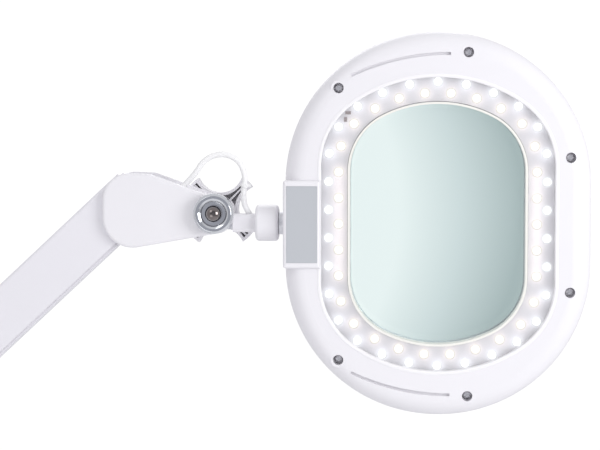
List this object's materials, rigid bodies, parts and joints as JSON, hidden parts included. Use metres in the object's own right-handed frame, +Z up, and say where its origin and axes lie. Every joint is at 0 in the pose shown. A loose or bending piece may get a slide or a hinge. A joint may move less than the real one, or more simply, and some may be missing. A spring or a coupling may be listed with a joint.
{
  "type": "magnifying lamp",
  "caption": "Magnifying work lamp with a lit lens head, friction joint and two parallelogram arms on a table clamp.",
  "frame": {"origin": "underside of the upper jaw pad, where the clamp rests on the table top, on the swivel axis", "axes": "+Z up, +X from the arms toward the lamp head, -Y the lit face"},
  "size_m": [0.7025, 0.0732, 1.0668],
  "materials": {
    "white_shell": "satin white moulding",
    "white_paint": "white powder coat",
    "white_cord": "white flexible sheath",
    "white_board": "white solder mask",
    "light_cool": "lit cool white",
    "light_warm": "lit warm white",
    "clear_cover": "clear sheet",
    "lens_glass": "polished glass",
    "chrome_steel": "polished",
    "zinc_steel": "bright zinc",
    "dark_rubber": "matt",
    "grey_plate": "satin grey film",
    "brass_metal": "turned",
    "nylon": "natural nylon",
    "green_board": "solder mask",
    "black_plastic": "moulded"
  },
  "bodies": {
    "clamp": {"clamp_frame": "white_paint", "socket_bush": "nylon", "table_pad": "dark_rubber"},
    "pad": {"clamp_pad": "zinc_steel", "pad_rubber": "dark_rubber"},
    "screw": {"clamp_screw": "zinc_steel", "clamp_knob": "black_plastic"},
    "swivel": {"base_pin": "zinc_steel", "base_bracket": "white_paint", "base_pins": "zinc_steel", "base_cover_front": "white_shell", "base_cover_back": "white_shell", "lead_gland": "white_cord"},
    "lower_outer": {"lower_outer_channel": "white_paint"},
    "lower_inner": {"lower_inner_channel": "white_paint"},
    "elbow": {"elbow_bracket": "white_paint", "elbow_pins": "zinc_steel", "elbow_cover_front": "white_shell", "elbow_cover_back": "white_shell"},
    "upper_outer": {"upper_outer_channel": "white_paint"},
    "upper_inner": {"upper_inner_channel": "white_paint"},
    "wrist": {"wrist_bracket": "white_paint", "wrist_pins": "zinc_steel", "wrist_cover_front": "white_shell", "wrist_cover_back": "white_shell", "joint_cup": "chrome_steel", "joint_bolt": "chrome_steel", "friction_washers": "nylon", "lead_loop": "white_cord", "lead_tie": "white_shell", "lead_entry": "white_shell"},
    "knob": {"star_knob": "white_shell", "knob_insert": "brass_metal"},
    "neck": {"neck_tongue": "zinc_steel", "neck_shell_upper": "white_shell", "neck_shell_lower": "white_shell", "neck_collar": "white_shell"},
    "head": {"head_shaft": "zinc_steel", "front_bezel": "white_shell", "rear_housing": "white_shell", "junction_box": "white_shell", "side_plate": "grey_plate", "led_board": "white_board", "leds_cool": "light_cool", "leds_warm": "light_warm", "led_cover": "clear_cover", "lens_sleeve": "white_shell", "lens": "lens_glass", "lens_gasket": "dark_rubber", "rear_trim": "white_shell", "bezel_screws": "zinc_steel", "driver_board": "green_board", "switch_board": "green_board", "board_parts": "black_plastic"},
    "power_button": {"power_button": "white_shell"},
    "tone_button": {"tone_button": "white_shell"}
  },
  "joints": [
    {"name": "base_swivel", "type": "hinge", "parent": "clamp", "child": "swivel", "pos_m": [0, 0, 0.03], "axis": [0, 0, 1], "range_deg": [-170, 170]},
    {"name": "lower_arm", "type": "hinge", "parent": "swivel", "child": "lower_outer", "pos_m": [-0.01159, 0, 0.08889], "axis": [0, -1, 0], "range_deg": [-33, 12]},
    {"name": "lower_link", "type": "hinge", "parent": "swivel", "child": "lower_inner", "pos_m": [0.01159, 0, 0.09511], "axis": [0, -1, 0], "range_deg": [-33, 12]},
    {"name": "elbow_turn", "type": "hinge", "parent": "lower_outer", "child": "elbow", "pos_m": [-0.1352, 0, 0.46932], "axis": [0, -1, 0], "range_deg": [-12, 33]},
    {"name": "upper_arm", "type": "hinge", "parent": "elbow", "child": "upper_outer", "pos_m": [-0.10361, 0, 0.53482], "axis": [0, -1, 0], "range_deg": [-33, 27]},
    {"name": "upper_link", "type": "hinge", "parent": "elbow", "child": "upper_inner", "pos_m": [-0.09161, 0, 0.51403], "axis": [0, -1, 0], "range_deg": [-33, 27]},
    {"name": "wrist_turn", "type": "hinge", "parent": "upper_outer", "child": "wrist", "pos_m": [0.18893, 0, 0.80761], "axis": [0, -1, 0], "range_deg": [-27, 33]},
    {"name": "knob_turn", "type": "hinge", "parent": "wrist", "child": "knob", "pos_m": [0.26493, 0, 0.79022], "axis": [0, 1, 0], "range_deg": [-360, 0]},
    {"name": "head_tilt", "type": "hinge", "parent": "wrist", "child": "neck", "pos_m": [0.26493, 0, 0.79022], "axis": [0, -1, 0], "range_deg": [-45, 45], "deforming": ["lead_loop", "lead_tie"]},
    {"name": "head_twist", "type": "hinge", "parent": "neck", "child": "head", "pos_m": [0.26493, 0, 0.78182], "axis": [1, 0, 0], "range_deg": [-90, 90]},
    {"name": "power_press", "type": "slide", "parent": "head", "child": "power_button", "axis": [0, -1, 0], "range_m": [0, 0.0015], "stiffness_N_per_m": 500, "springref_m": -0.001},
    {"name": "tone_press", "type": "slide", "parent": "head", "child": "tone_button", "axis": [0, -1, 0], "range_m": [0, 0.0015], "stiffness_N_per_m": 500, "springref_m": -0.001},
    {"name": "pad_travel", "type": "slide", "parent": "clamp", "child": "pad", "axis": [0, 0, 1], "range_m": [-0.02, 0.026]},
    {"name": "clamp_turn", "type": "hinge", "parent": "pad", "child": "screw", "pos_m": [0.012, 0, -0.05], "axis": [0, 0, 1], "range_deg": [-2881, 3745]}
  ],
  "couplings": [
    {"joint": "lower_link", "follows": "lower_arm", "ratio": 1},
    {"joint": "elbow_turn", "follows": "lower_arm", "ratio": -1},
    {"joint": "upper_link", "follows": "upper_arm", "ratio": 1},
    {"joint": "wrist_turn", "follows": "upper_arm", "ratio": -1},
    {"joint": "clamp_turn", "follows": "pad_travel", "rad_per_m": 2513.3}
  ]
}
